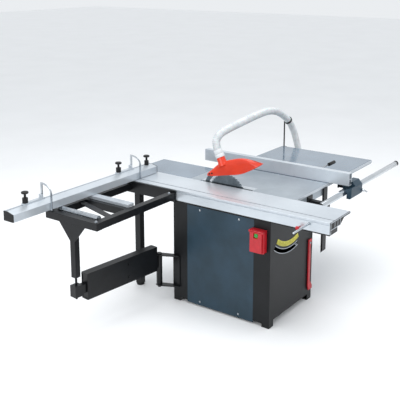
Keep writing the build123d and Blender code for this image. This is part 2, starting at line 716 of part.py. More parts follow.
def outrigger_leg():
    half = LEG_TUBE / 2
    leg = tube_z(LEG_BOTTOM, OUT_Z, LEG_X - half, LEG_Y - half, LEG_TUBE, TUBE_WALL)
    leg += block(LEG_X - half, LEG_X + half, LEG_Y - half, LEG_Y + half, LEG_BOTTOM, LEG_BOTTOM + 6)
    for side in (-1, 1):
        y = LEG_Y + side * half
        leg += prism_x([(y, OUT_Z), (y + side * 95, OUT_Z), (y, OUT_Z - 115)], LEG_X - half, LEG_X - half + 6)
    return leg


def leg_rod():
    top = BAR_Z[1] + 10
    return bar((LEG_X, LEG_Y, top + 1.5), (LEG_X, LEG_Y, LEG_BOTTOM), LEG_PIN_R)


# ---------------------------------------------------------------- swing arm
def arm_place():
    """The arm is drawn along -X from the hinge, then turned so that it points at the leg."""
    turn = degrees(atan2(LEG_Y - HINGE[1], HINGE[0] - LEG_X))
    return Pos(HINGE[0], HINGE[1], 0) * Rot(0, 0, -turn)


def arm_reach():
    return hypot(LEG_Y - HINGE[1], HINGE[0] - LEG_X)


def hinge_bracket():
    z0, z1 = BRACKET_Z
    x = -WALL_X
    flange = block(x - 8, x, 350, WALL_Y, z0, z1)
    outline = [(x, 352), (x, WALL_Y - 1), (HINGE[0] + 22, HINGE[1] + 18), (HINGE[0] - 16, HINGE[1] + 22),
               (HINGE[0] - 26, HINGE[1] - 6), (x - 20, 352)]
    for a, b in ((z0, z0 + 8), (z1 - 8, z1)):
        plate = prism_z(outline, a, b)
        flange += plate - bar((*HINGE, a), (*HINGE, b), HINGE_PIN_R + RUN)
    return flange


def hinge_pin():
    z0, z1 = BRACKET_Z
    pin = bar((*HINGE, z0 - 14), (*HINGE, z1 + 6), HINGE_PIN_R)
    return pin + bar((*HINGE, z1), (*HINGE, z1 + 8), HINGE_PIN_R + 7)


def swing_arm():
    z0, z1 = ARM_Z
    h = ARM_HALF
    w = ARM_WALL
    box_ = block(-ARM_END, -ARM_START, -h, h, z0, z1)
    box_ -= block(-ARM_END, -ARM_START - w, -h + w, h - w, z0 + w, z1 - w)
    gap = NEAR
    for x in (ARM_END - 18, ARM_END - 117):
        frame = block(-x - 14, -x, -h + w, h - w, z0 + w, z1 - w)
        frame -= block(-x - 14, -x, -BAR_HALF - gap, BAR_HALF + gap, BAR_Z[0] - gap, BAR_Z[1] + gap)
        box_ += frame
    bz0, bz1 = BRACKET_Z[0] + 8 + TOUCH, BRACKET_Z[1] - 8 - TOUCH
    web = block(-ARM_START, -BARREL_R + 5, -9, 9, z0 + 8, bz1 - 8)
    barrel = bar((0, 0, bz0), (0, 0, bz1), BARREL_R)
    arm = box_ + web + barrel
    return arm_place() * (arm - bar((0, 0, bz0), (0, 0, bz1), HINGE_PIN_R + RUN))


def arm_bolts():
    for z in (ARM_Z[0] + 40, ARM_Z[1] - 50):
        yield arm_place() * bar((-330, -ARM_HALF - 5, z), (-330, -ARM_HALF, z), 8)


def arm_bar():
    reach = arm_reach()
    shaft = block(-reach + 28, -330, -BAR_HALF, BAR_HALF, *BAR_Z)
    head = block(-reach - 30, -reach + 30, -28, 28, BAR_Z[0] - 10, BAR_Z[1] + 10)
    return arm_place() * (shaft + head)


def arm_bolt():
    z = BAR_Z[0] - 10
    return bar((LEG_X, LEG_Y, z - 8), (LEG_X, LEG_Y, z), 12) + bar((LEG_X, LEG_Y, z - 20), (LEG_X, LEG_Y, z), 7)


# ---------------------------------------------------------------- crosscut fence and stops
def fence_outline():
    y0, y1 = FENCE_Y
    z0, z1 = FENCE_Z
    return [(y0, z0), (y1, z0), (y1, z1), (y1 - 34, z1), (y0, z1 - 14)]


def crosscut_fence():
    x0, x1 = FENCE_X[0] + CAP_T, FENCE_X[1] - CAP_T
    y0, y1 = FENCE_Y
    z0, z1 = FENCE_Z
    t = FENCE_WALL
    body = prism_x(fence_outline(), x0, x1)
    body -= prism_x([(y0 + t, z0 + t), (y0 + 48, z0 + t), (y0 + 48, z1 - 8), (y0 + t, z1 - 19)], x0, x1)
    body -= block(x0, x1, y0 + 51, y1 - t, z0 + t, z1 - 14)
    body -= block(x0, x1, y1 - 20, y1 - 12, z1 - 10, z1)
    return body


def fence_caps():
    for a, b in ((FENCE_X[0], FENCE_X[0] + CAP_T), (FENCE_X[1] - CAP_T, FENCE_X[1])):
        yield prism_x(fence_outline(), a, b)


def fence_pivot_block():
    x, y = FENCE_PIVOT
    return bar((x, y, TABLE_Z), (x, y, FENCE_Z[0] - NEAR), 26)


def fence_rest():
    x0 = OUT_X0 + 2
    return block(x0, x0 + TUBE - 4, OUT_Y[1] - 24, OUT_Y[1], OUT_TOP, FENCE_Z[0] - NEAR)


def mushroom(x, y, z, foot_r):
    """A round grip on a short neck, above a clamp foot."""
    foot = bar((x, y, z), (x, y, z + 34), foot_r)
    neck = bar((x, y, z + 34), (x, y, z + 62), 8)
    grip = bar((x, y, z + 62), (x, y, z + 76), 24)
    return foot + neck + fillet(grip.edges().filter_by(GeomType.CIRCLE), 5)


def pivot_knob():
    return mushroom(FENCE_PIVOT[0], FENCE_PIVOT[1] + 22, FENCE_Z[1] + NEAR, 17)


def stop_block(n):
    x, k = STOP_X[n], STOP_KNOB_X[n]
    z = FENCE_Z[1] + NEAR
    y1 = FENCE_Y[1] - 1
    plate = block(k - 22, x + 16, y1 - 28, y1, z, z + 10)
    ear = block(x - 16, x - 4, y1 - 28, y1, z + 10, z + 34)
    return plate + ear - bar((x - 16, y1 - 14, z + 22), (x - 4, y1 - 14, z + 22), 5)


def stop_flag(n):
    """The flip stop: a quarter ring from a tall rear bar to a bar that drops before the fence."""
    x = STOP_X[n]
    z = FENCE_Z[1] + NEAR
    y_rear = FENCE_Y[1] - 15
    y_near = FENCE_Y[0] - 14
    top = z + 112
    low = TABLE_Z + 6
    mid = z + 57
    a, b = x - 3, x + 3
    rear = block(a, b, y_rear - 8, y_rear + 8, z + 16, top)
    near = block(a, b, y_near - 7, y_near + 7, low, mid)
    radius_y, radius_z = y_rear - y_near, top - mid
    ring = []
    for n_ in range(0, 91, 10):
        t = radians(n_)
        ring.append((y_rear - (radius_y + 4) * sin(t), mid + (radius_z) * cos(t)))
    inner = [(y_rear - (radius_y - 6) * sin(radians(n_)), mid + (radius_z - 10) * cos(radians(n_)))
             for n_ in range(90, -1, -10)]
    arc = prism_x(ring + inner, a, b)
    pin = bar((x - 18, y_rear, z + 22), (x + 3, y_rear, z + 22), 5 - RUN)
    return rear + near + arc + pin


def stop_knob(n):
    return mushroom(STOP_KNOB_X[n], FENCE_Y[1] - 16, FENCE_Z[1] + NEAR + 10 + NEAR, 19)


# ---------------------------------------------------------------- saw unit
CARRIER_X = (75.0, 87.0)
CARRIER_LOW = 480.0
SHOE_T = 20.0


def trunnions():
    for y in (TRUNNION_FRONT_Y, TRUNNION_REAR_Y):
        guide = arc_band(*TRUNNION_R, -57, 45, y, y + TRUNNION_T)
        yield guide + block(24, 70, y, y + TRUNNION_T, 785, TABLE_SEAT_Z)


def carrier():
    r0, r1 = TRUNNION_R
    x0, x1 = CARRIER_X
    front = TRUNNION_FRONT_Y + TRUNNION_T + TOUCH
    rear = TRUNNION_REAR_Y - TOUCH
    body = block(x0, x1, front, PIVOT_Y + 60, CARRIER_LOW, 740)
    body += block(x0, x1, front, rear, CARRIER_LOW, CARRIER_LOW + 50)
    for y0, y1, s0, s1 in ((front, front + 10, TRUNNION_FRONT_Y, front),
                           (rear - 10, rear, rear, TRUNNION_REAR_Y + TRUNNION_T)):
        plate = prism_y([(x0, CARRIER_LOW), (x1, CARRIER_LOW), (x1, 700), (40, 757), (-62, 757), (-62, 700)],
                        y0, y1)
        plate += arc_band(r0 - SHOE_T, r1 + SHOE_T, -10, 34, y0, y1)
        body += plate
        body += arc_band(r1 + RUN, r1 + SHOE_T, -10, 34, s0, s1)
        body += arc_band(r0 - SHOE_T, r0 - RUN, -10, 34, s0, s1)
    half = 1.5
    body += block(BLADE_X + half, BLADE_X + 22, 306, rear, 690, 752)
    x, z = tilt_point(RISE_R, RISE_ANGLE)
    body -= bar((x, front, z), (x, front + 10, z), RISE_SHAFT_R + RUN)
    body += pipe((x, front, z), (x, front + RISE_BOSS, z), RISE_SHAFT_R + 9, RISE_SHAFT_R + RUN)
    body -= bar((x0, PIVOT_Y, PIVOT_Z), (x1, PIVOT_Y, PIVOT_Z), ARBOR_R)
    return body


def rise_shaft():
    x, z = tilt_point(RISE_R, RISE_ANGLE)
    end = TRUNNION_FRONT_Y + TRUNNION_T + TOUCH + RISE_BOSS + 2
    shaft = bar((x, -WALL_Y - 4, z), (x, end, z), RISE_SHAFT_R)
    return shaft + bar((x, TRUNNION_FRONT_Y - 4, z), (x, TRUNNION_FRONT_Y + 8, z), RISE_SHAFT_R + 6)


def arm_axle():
    return bar((22, PIVOT_Y, PIVOT_Z), (CARRIER_X[1], PIVOT_Y, PIVOT_Z), ARBOR_R - RUN)


def arbor_arm():
    x0, x1 = 30, 70
    outline = [(PIVOT_Y - 34, PIVOT_Z - 12), (PIVOT_Y - 20, PIVOT_Z + 30), (ARBOR_Y - 30, ARBOR_Z + 24),
               (ARBOR_Y + 20, ARBOR_Z + 10), (ARBOR_Y + 14, ARBOR_Z - 34), (MOTOR_Y + 30, PIVOT_Z - 40),
               (PIVOT_Y + 10, PIVOT_Z - 40)]
    arm = prism_x(outline, x0, x1)
    arm += bar((x0, PIVOT_Y, PIVOT_Z), (x1, PIVOT_Y, PIVOT_Z), 32)
    arm += bar((-6, ARBOR_Y, ARBOR_Z), (x1, ARBOR_Y, ARBOR_Z), 31)
    low = MOTOR_Z - MOTOR_R - 18
    arm += block(x0, x0 + 12, MOTOR_Y - 50, MOTOR_Y + 50, low, PIVOT_Z)
    arm += block(x0, 290, MOTOR_Y - 50, MOTOR_Y + 50, low, low + 10)
    arm -= bar((x0, PIVOT_Y, PIVOT_Z), (x1, PIVOT_Y, PIVOT_Z), ARBOR_R + RUN)
    return arm - bar((-6, ARBOR_Y, ARBOR_Z), (x1, ARBOR_Y, ARBOR_Z), ARBOR_R + 10)


def arbor_bearings():
    for x in (-6, 54):
        yield pipe((x, ARBOR_Y, ARBOR_Z), (x + 16, ARBOR_Y, ARBOR_Z), ARBOR_R + 10, ARBOR_R + RUN)


def arbor():
    half = BLADE_T / 2
    shaft = bar((BLADE_X - 30, ARBOR_Y, ARBOR_Z), (PULLEY_X[1], ARBOR_Y, ARBOR_Z), ARBOR_R)
    shoulder = bar((BLADE_X + half, ARBOR_Y, ARBOR_Z), (BLADE_X + half + 12, ARBOR_Y, ARBOR_Z), FLANGE_R)
    return shaft + shoulder


def saw_flange():
    x1 = BLADE_X - BLADE_T / 2
    flange = pipe((x1 - 10, ARBOR_Y, ARBOR_Z), (x1, ARBOR_Y, ARBOR_Z), FLANGE_R, ARBOR_R)
    return flange + pipe((x1 - 22, ARBOR_Y, ARBOR_Z), (x1 - 10, ARBOR_Y, ARBOR_Z), 19, ARBOR_R)


def blade():
    half = BLADE_T / 2
    disc = bar((BLADE_X - half, 0, 0), (BLADE_X + half, 0, 0), BLADE_R)
    disc -= bar((BLADE_X - half, 0, 0), (BLADE_X + half, 0, 0), ARBOR_R)
    root = BLADE_R - 9
    step = 360 / TEETH
    for n in range(TEETH):
        a, b = radians(n * step), radians(n * step + step * 0.55)
        gullet = [(root * cos(a), root * sin(a)), ((BLADE_R + 2) * cos(a), (BLADE_R + 2) * sin(a)),
                  ((BLADE_R + 2) * cos(b), (BLADE_R + 2) * sin(b))]
        disc -= prism_x(gullet, BLADE_X - half, BLADE_X + half)
    return Pos(0, ARBOR_Y, ARBOR_Z) * disc


def pulley(y, z, radius):
    wheel = bar((PULLEY_X[0], y, z), (PULLEY_X[1], y, z), radius)
    return wheel


ARBOR_PULLEY_R = 32.0
MOTOR_PULLEY_R = 42.0


def arbor_pulley():
    return pulley(ARBOR_Y, ARBOR_Z, ARBOR_PULLEY_R) \
        - bar((PULLEY_X[0], ARBOR_Y, ARBOR_Z), (PULLEY_X[1], ARBOR_Y, ARBOR_Z), ARBOR_R)


def motor_pulley():
    return pulley(MOTOR_Y, MOTOR_Z, MOTOR_PULLEY_R) \
        - bar((PULLEY_X[0], MOTOR_Y, MOTOR_Z), (PULLEY_X[1], MOTOR_Y, MOTOR_Z), 12)


def belt():
    """A flat loop round both pulleys, a running gap clear of them."""
    gap, thick = NEAR, 5.0
    dy, dz = ARBOR_Y - MOTOR_Y, ARBOR_Z - MOTOR_Z
    span = hypot(dy, dz)
    lean = degrees(atan2(dz, dy))

    def loop(extra):
        r0, r1 = MOTOR_PULLEY_R + extra, ARBOR_PULLEY_R + extra
        a = atan2(sqrt(span ** 2 - (r0 - r1) ** 2), r0 - r1)
        quad = [(r0 * cos(a), r0 * sin(a)), (span + r1 * cos(a), r1 * sin(a)),
                (span + r1 * cos(a), -r1 * sin(a)), (r0 * cos(a), -r0 * sin(a))]
        solid = prism_x(quad, PULLEY_X[0] + 5, PULLEY_X[1] - 5)
        solid += bar((PULLEY_X[0] + 5, 0, 0), (PULLEY_X[1] - 5, 0, 0), r0)
        return solid + bar((PULLEY_X[0] + 5, span, 0), (PULLEY_X[1] - 5, span, 0), r1)

    return Pos(0, MOTOR_Y, MOTOR_Z) * Rot(lean, 0, 0) * (loop(gap + thick) - loop(gap))


def motor():
    x0, x1 = PULLEY_X[1] + 8, 288.0
    body = bar((x0, MOTOR_Y, MOTOR_Z), (x1, MOTOR_Y, MOTOR_Z), MOTOR_R)
    low = MOTOR_Z - MOTOR_R - 8
    body += block(x0 + 10, x1 - 20, MOTOR_Y - 45, MOTOR_Y + 45, low, MOTOR_Z - MOTOR_R + 25)
    return body - bar((x0, MOTOR_Y, MOTOR_Z), (x0 + 60, MOTOR_Y, MOTOR_Z), 12 + RUN)


def motor_shaft():
    return bar((PULLEY_X[0] - 2, MOTOR_Y, MOTOR_Z), (PULLEY_X[1] + 60, MOTOR_Y, MOTOR_Z), 12)


KNIFE_Y = 134.0
KNIFE_R = (168.0, 201.0)


def riving_knife():
    x0, x1 = BLADE_X - 1.5, BLADE_X + 1.5
    r0, r1 = KNIFE_R
    ring = bar((x0, KNIFE_Y, ARBOR_Z), (x1, KNIFE_Y, ARBOR_Z), r1)
    ring -= bar((x0, KNIFE_Y, ARBOR_Z), (x1, KNIFE_Y, ARBOR_Z), r0)
    reach = 2 * r1
    top = radians(56)
    wedge = prism_x([(KNIFE_Y, ARBOR_Z), (KNIFE_Y + reach, ARBOR_Z),
                     (KNIFE_Y + reach * cos(top), ARBOR_Z + reach * sin(top))], x0, x1)
    knife = ring & wedge
    knife += block(x0, x1, KNIFE_Y + r0, KNIFE_Y + r1, 690, ARBOR_Z)
    for y, z in HOOD_BOLTS:
        knife -= bar((x0, y, z), (x1, y, z), 3 + NEAR)
    return knife


# The hood's side view, as (y, z): tail, lower edge, nose, back, neck.
HOOD_OUTLINE = [(299, 911), (214, 924), (121, 947), (-1, 969), (-95, 1018), (-174, 1072), (-80, 1085),
                (0, 1087), (60, 1072), (131, 1049), (199, 1016), (250, 968), (296, 930)]
HOOD_BOLTS = [(268, 932), (245, 940)]
NECK_END = (200.0, 1094.0)
NECK_AXIS = (0.443, 0.8965)


def neck_point(back):
    return BLADE_X, NECK_END[0] - back * NECK_AXIS[0], NECK_END[1] - back * NECK_AXIS[1]


def hood():
    outer = make_face(Polyline(*HOOD_OUTLINE, close=True))
    inner = offset(outer, -HOOD_WALL, kind=Kind.INTERSECTION)
    side = Plane(origin=(BLADE_X - HOOD_HALF, 0, 0), x_dir=(0, 1, 0), z_dir=(1, 0, 0))
    body = extrude(side * outer, 2 * HOOD_HALF)
    body += bar(neck_point(95), neck_point(3), NECK_R)
    room = extrude(side.offset(HOOD_WALL) * inner, 2 * (HOOD_HALF - HOOD_WALL))
    body -= room
    body -= Pos(0, 0, -5) * room
    body -= bar(neck_point(85), neck_point(3), NECK_R - NECK_WALL)
    for y, z in HOOD_BOLTS:
        for a, b in ((BLADE_X - HOOD_HALF + 1, BLADE_X - 1.5), (BLADE_X + 1.5, BLADE_X + HOOD_HALF - 1)):
            body += bar((a, y, z), (b, y, z), 7)
        body -= bar((BLADE_X - HOOD_HALF, y, z), (BLADE_X + HOOD_HALF, y, z), 3 + NEAR)
    return body


def hood_band():
    return pipe(neck_point(30), neck_point(3), NECK_R + 3, NECK_R)


def hood_screws():
    for y, z in HOOD_BOLTS:
        x0, x1 = BLADE_X - HOOD_HALF, BLADE_X + HOOD_HALF
        screw = bar((x0 - 3, y, z), (x1 + 3, y, z), 3)
        yield screw + bar((x0 - 3, y, z), (x0, y, z), 6) + bar((x1, y, z), (x1 + 3, y, z), 6)


# ---------------------------------------------------------------- tilt handwheel
def tilt_shaft():
    x = WALL_X
    shaft = bar((x - 60, WHEEL_Y, WHEEL_Z), (x + 40, WHEEL_Y, WHEEL_Z), SHAFT_R)
    return shaft + bar((x - CABINET_WALL - 10, WHEEL_Y, WHEEL_Z),
                       (x - CABINET_WALL - NEAR, WHEEL_Y, WHEEL_Z), SHAFT_R + 6)


def handwheel():
    x = WALL_X + 16
    y, z = WHEEL_Y, WHEEL_Z
    rim = pipe((x + 6, y, z), (x + 22, y, z), 84, 68)
    hub = bar((x, y, z), (x + 24, y, z), 20)
    wheel = rim + hub
    for n in range(3):
        a = radians(90 + 120 * n)
        wheel += bar((x + 14, y, z), (x + 14, y + 72 * cos(a), z + 72 * sin(a)), 6)
    return wheel - bar((x, y, z), (x + 24, y, z), SHAFT_R)


def wheel_grip():
    x = WALL_X + 16 + 22
    y, z = WHEEL_Y, WHEEL_Z + 76
    return bar((x, y, z), (x + 60, y, z), 11)


# ---------------------------------------------------------------- hose and its stand
STAND_Y = 385.0
STAND_X = WING_X1 + 12.0
STAND_TOP = 1150.0
RING_AT = (1256.0, 338.5, 1107.0)      # where the hose passes through its ring
RING_ALONG = (0.714, -0.129, -0.688)


def hose_stand():
    foot = block(WING_X1, WING_X1 + 24, STAND_Y - 20, WING_Y[1] - 1, TABLE_Z - 26, TABLE_Z - 4)
    rod = bar((STAND_X, STAND_Y, TABLE_Z - 26), (STAND_X, STAND_Y, STAND_TOP), 6)
    centre, along = Vector(*RING_AT), Vector(*RING_ALONG).normalized()
    start, end = centre - along * 7, centre + along * 7
    ring = bar(start, end, HOSE_R + 6)
    reach = Vector(STAND_X, STAND_Y, RING_AT[2])
    towards = (centre - reach).normalized()
    arm = bar(reach, centre - towards * (HOSE_R + 3), 4)
    return foot + rod + ring + arm - bar(start - along * 9, end + along * 9, HOSE_R + TOUCH)


HOSE = [(BLADE_X, 200, 1094), (BLADE_X, 236, 1167), (20, 236, 1222), (120, 226, 1245), (280, 216, 1266),
        (500, 228, 1280), (750, 262, 1278), (970, 310, 1240), (1140, 350, 1186), (1262, 340, 1110),
        (1328, 316, 1005), (1346, 290, 880), (1338, 245, 755), (1300, 180, 640), (1225, 110, 548),
        (1110, 45, 490), (975, -5, 462), (835, -36, 468), (705, -52, 505), (590, -59, 556),
        (470, -60, 600), (WALL_X + PORT_OUT, PORT_Y, PORT_Z)]


def hose():
    points = [Vector(*p) for p in HOSE]
    runs = [b - a for a, b in zip(points, points[1:])]
    radii = []
    for a, b in zip(runs, runs[1:]):
        radii.append(0.45 * min(a.length, b.length) / tan(radians(a.get_angle(b) / 2)))
    print("hose runs", [round(r.length) for r in runs])
    print("hose radii", [round(r) for r in radii])
    path = FilletPolyline(*points, radius=radii)
    start = Plane(origin=path @ 0, z_dir=path % 0)
    tube = sweep(start * Circle(HOSE_R), path=path)
    print("hose length", round(path.length), "volume ratio",
          round(tube.volume / (path.length * 3.14159265 * HOSE_R ** 2), 4))
    return tube


# ---------------------------------------------------------------- write every sub-part
os.makedirs("parts", exist_ok=True)
save("cabinet", cabinet())
save("side_panel", side_panel())
save("cabinet_fittings", *panel_screws(), stick_hook())
save("tilt_scale", tilt_scale())
save("motor_cover", motor_cover())
save("dust_ports", dust_port(), dust_outlet())
save("switch_box", switch_box())
save("switch_flap", switch_flap())
save("start_button", button(START_Z))
save("stop_button", button(STOP_Z))
save("push_stick", push_stick())
save("tilt_wheel", tilt_shaft(), handwheel(), wheel_grip())
save("cast_table", cast_table())
save("table_insert", table_insert())
save("side_table", side_table())
save("outfeed_table", outfeed_table())
save("supports", *wing_tubes(), *outfeed_brackets(), *trunnions(), beam_leg(), beam_foot())
save("scale_strips", *scale_strips())
save("rail", rail())
save("rail_brackets", *rail_brackets(), front_post(), *rail_caps(), *beam_caps())
save("rip_head", rip_head(), rip_lever_post(), *rip_fence_bolts())
save("rip_fence", rip_fence())
save("rip_lever", rip_lever())
save("rip_lever_grip", rip_lever_grip())
save("rip_lock", rip_lock())
save("beam", beam())
save("carriage", carriage())
save("carriage_caps", *carriage_caps())
save("push_handle", push_handle(), handle_rod())
save("lock_knob", lock_knob())
save("outrigger_frame", *outrigger_frame(), *tube_ends(), outrigger_brace())
save("rest_bar", rest_bar())
save("roller_axle", roller_axle(), *roller_brackets())
save("roller", roller())
save("outrigger_leg", outrigger_leg(), leg_rod())
save("hinge_bracket", hinge_bracket(), hinge_pin())
save("swing_arm", swing_arm(), *arm_bolts())
save("arm_bar", arm_bar(), arm_bolt())
save("crosscut_fence", crosscut_fence())
save("fence_caps", *fence_caps())
save("fence_supports", fence_pivot_block(), fence_rest())
save("pivot_knob", pivot_knob())
for number in (0, 1):
    save(f"stop_block_{number + 1}", stop_block(number))
    save(f"stop_flag_{number + 1}", stop_flag(number))
    save(f"stop_knob_{number + 1}", stop_knob(number))
save("carrier", carrier(), arm_axle())
save("rise_shaft", rise_shaft())
save("arbor_arm", arbor_arm(), *arbor_bearings())
save("arbor", arbor(), saw_flange(), arbor_pulley())
save("blade", blade())
save("belt", belt())
save("motor", motor())
save("motor_shaft", motor_shaft(), motor_pulley())
save("riving_knife", riving_knife())
save("hood", hood(), hood_band(), *hood_screws())
save("hose_stand", hose_stand())
save("hose", hose())
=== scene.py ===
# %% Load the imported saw
import math
import bpy
from mathutils import Matrix, Vector


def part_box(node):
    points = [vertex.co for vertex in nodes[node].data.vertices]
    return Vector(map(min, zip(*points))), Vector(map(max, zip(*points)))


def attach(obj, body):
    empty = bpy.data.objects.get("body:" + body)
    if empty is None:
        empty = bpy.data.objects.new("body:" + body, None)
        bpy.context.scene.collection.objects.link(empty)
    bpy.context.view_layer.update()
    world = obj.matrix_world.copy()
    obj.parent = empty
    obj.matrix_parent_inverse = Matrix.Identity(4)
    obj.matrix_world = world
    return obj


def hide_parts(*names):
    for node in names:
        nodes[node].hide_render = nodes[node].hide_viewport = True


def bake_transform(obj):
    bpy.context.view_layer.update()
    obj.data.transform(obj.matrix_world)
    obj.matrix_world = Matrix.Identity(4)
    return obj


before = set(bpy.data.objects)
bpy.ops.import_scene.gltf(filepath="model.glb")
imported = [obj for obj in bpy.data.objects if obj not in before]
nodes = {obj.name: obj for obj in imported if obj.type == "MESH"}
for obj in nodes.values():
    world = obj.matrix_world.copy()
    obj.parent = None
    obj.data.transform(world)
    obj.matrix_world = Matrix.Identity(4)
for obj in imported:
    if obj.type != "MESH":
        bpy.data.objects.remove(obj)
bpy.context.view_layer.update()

# %% [markdown]
# # A sliding table panel saw
# The imported model gives every machined part its place. The cells below add what makes
# it look real: the ribbed dust hose, the moulded blade hood, fasteners, scales and a
# procedural finish for every part. Lengths are given in millimetres, because that
# is how the machine is drawn, and one helper turns them into Blender's metres.

# %% Millimetres to metres
def mm(*values):
    """One length, or a point, from millimetres to metres."""
    return values[0] * 0.001 if len(values) == 1 else Vector(values) * 0.001


def low(name):
    """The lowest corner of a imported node."""
    return Vector(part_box(name)[0])


# %% [markdown]
# ## The camera
# The saw is seen from the front left, a little above the tables, with a long lens so
# that the tables don't taper much. The lens is 66 mm on a 36 mm sensor. A
# moderate downward shift keeps the cabinet's upright edges nearly parallel.

# %% Camera
bpy.ops.object.select_all(action="DESELECT")
CAMERA_AT = mm(-4338, -2727, 2427)
CAMERA_YAW, CAMERA_PITCH = math.radians(54.28), math.radians(11.76)
bpy.ops.object.camera_add(location=CAMERA_AT, rotation=(math.pi / 2 - CAMERA_PITCH, 0, -CAMERA_YAW))
camera = bpy.context.object
camera.data.sensor_width = 36
camera.data.lens = 66
camera.data.shift_y = -0.2
bpy.context.scene.camera = camera
print("camera lens:", camera.data.lens)

# %% [markdown]
# ## The dust hose
# A 60 mm ribbed PVC hose leaves the hood's neck, arches over the tables, hangs on the
# ring of a thin stand at the right-hand table, drops, and comes back under the tables
# to a port on the cabinet's right side. It is a free hose, so its middle line is one
# smooth NURBS spline, and the ribs are rings set along that line.

# %% Route of the hose
HOSE_POINTS = [
    (-30, 200, 1094), (-30, 236, 1167), (20, 236, 1222), (120, 226, 1245), (280, 216, 1266),
    (500, 228, 1280), (750, 262, 1278), (970, 310, 1240), (1140, 350, 1186), (1262, 340, 1110),
    (1328, 316, 1005), (1346, 290, 880), (1338, 245, 755), (1300, 180, 640), (1225, 110, 548),
    (1110, 45, 490), (975, -5, 462), (835, -36, 468), (705, -52, 505), (590, -59, 556),
    (470, -60, 600), (345, -60, 600)]
HOSE_R = mm(30)

curve = bpy.data.curves.new("hose_route", "CURVE")
curve.dimensions = "3D"
spline = curve.splines.new("NURBS")
spline.points.add(len(HOSE_POINTS) - 1)
for point, place in zip(spline.points, HOSE_POINTS):
    point.co = (*mm(*place), 1)
spline.order_u = 3
spline.use_endpoint_u = True
spline.resolution_u = 16
route = bpy.data.objects.new("hose_route", curve)
route_mesh = bpy.data.meshes.new_from_object(route)
hose_line = [v.co.copy() for v in route_mesh.vertices]
bpy.data.meshes.remove(route_mesh)
bpy.data.objects.remove(route)


# %% Tube along a line, with a radius for each ring
def evenly(line, step):
    """Points along a line, each a step from the last."""
    total = sum((b - a).length for a, b in zip(line, line[1:]))
    count = max(2, round(total / step))
    out, passed, n = [], 0.0, 0
    for k in range(count + 1):
        target = total * k / count
        while n < len(line) - 2 and passed + (line[n + 1] - line[n]).length < target:
            passed += (line[n + 1] - line[n]).length
            n += 1
        run = line[n + 1] - line[n]
        out.append(line[n] + run * min(1.0, (target - passed) / run.length))
    return out


def tube(name, line, radius_of, sides):
    """A closed tube. radius_of gives the radius at ring k of n."""
    count = len(line)
    across = (line[1] - line[0]).orthogonal().normalized()
    verts, faces = [], []
    for k, point in enumerate(line):
        along = (line[min(k + 1, count - 1)] - line[max(k - 1, 0)]).normalized()
        across = (across - along * across.dot(along)).normalized()
        up = along.cross(across)
        r = radius_of(k, count)
        for s in range(sides):
            a = 2 * math.pi * s / sides
            verts.append(point + (across * math.cos(a) + up * math.sin(a)) * r)
    for k in range(count - 1):
        for s in range(sides):
            t = (s + 1) % sides
            faces.append((k * sides + s, k * sides + t, (k + 1) * sides + t, (k + 1) * sides + s))
    faces.append(tuple(range(sides))[::-1])
    faces.append(tuple((count - 1) * sides + s for s in range(sides)))
    mesh = bpy.data.meshes.new(name)
    mesh.from_pydata([tuple(v) for v in verts], [], faces)
    mesh.validate()
    obj = bpy.data.objects.new(name, mesh)
    bpy.context.collection.objects.link(obj)
    return obj


# %% Ribbed hose
RIB_PITCH = mm(11)
RIB_DEPTH = mm(3.2)
RINGS_A_RIB = 6
rib_line = evenly(hose_line, RIB_PITCH / RINGS_A_RIB)
hose = tube("hose_ribbed", rib_line,
            lambda k, n: HOSE_R - RIB_DEPTH * (0.5 - 0.5 * math.cos(2 * math.pi * k / RINGS_A_RIB)), 28)
for face in hose.data.polygons:
    face.use_smooth = True
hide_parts("hose")
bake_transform(hose)
print("hose triangles:", 2 * len(hose.data.polygons))

# %% [markdown]
# ## Making pieces by hand
# Every new piece starts as a primitive at its size and place and is then worked in edit
# mode. These few helpers keep the cells short: one selects a single object, one applies
# a modifier, one gives a block with softened edges, one a round rod, and one a turned
# piece, which is a circle extruded and resized again and again like work on a lathe.

# %% Helpers for pieces
def only(obj):
    """Nothing but obj selected, and active."""
    if bpy.context.object and bpy.context.object.mode != "OBJECT":
        bpy.ops.object.mode_set(mode="OBJECT")
    bpy.ops.object.select_all(action="DESELECT")
    obj.select_set(True)
    bpy.context.view_layer.objects.active = obj


def settle(obj):
    """Puts the object's place, turn and size into its mesh."""
    only(obj)
    bpy.ops.object.transform_apply(location=True, rotation=True, scale=True)
    return obj


def with_modifier(obj, kind, **settings):
    only(obj)
    modifier = obj.modifiers.new(kind.lower(), kind)
    for key, value in settings.items():
        setattr(modifier, key, value)
    bpy.ops.object.modifier_apply(modifier=modifier.name)
    return obj


def soften(obj, width, segments=2):
    return with_modifier(obj, "BEVEL", width=width, segments=segments, limit_method="ANGLE",
                         angle_limit=math.radians(35)) if width else obj


def block(lo, hi, edge=0.0008):
    """A box between two corners, with rounded edges."""
    lo, hi = Vector(lo), Vector(hi)
    bpy.ops.object.select_all(action="DESELECT")
    bpy.ops.mesh.primitive_cube_add(size=1, location=(lo + hi) / 2, scale=hi - lo)
    return soften(settle(bpy.context.object), edge)


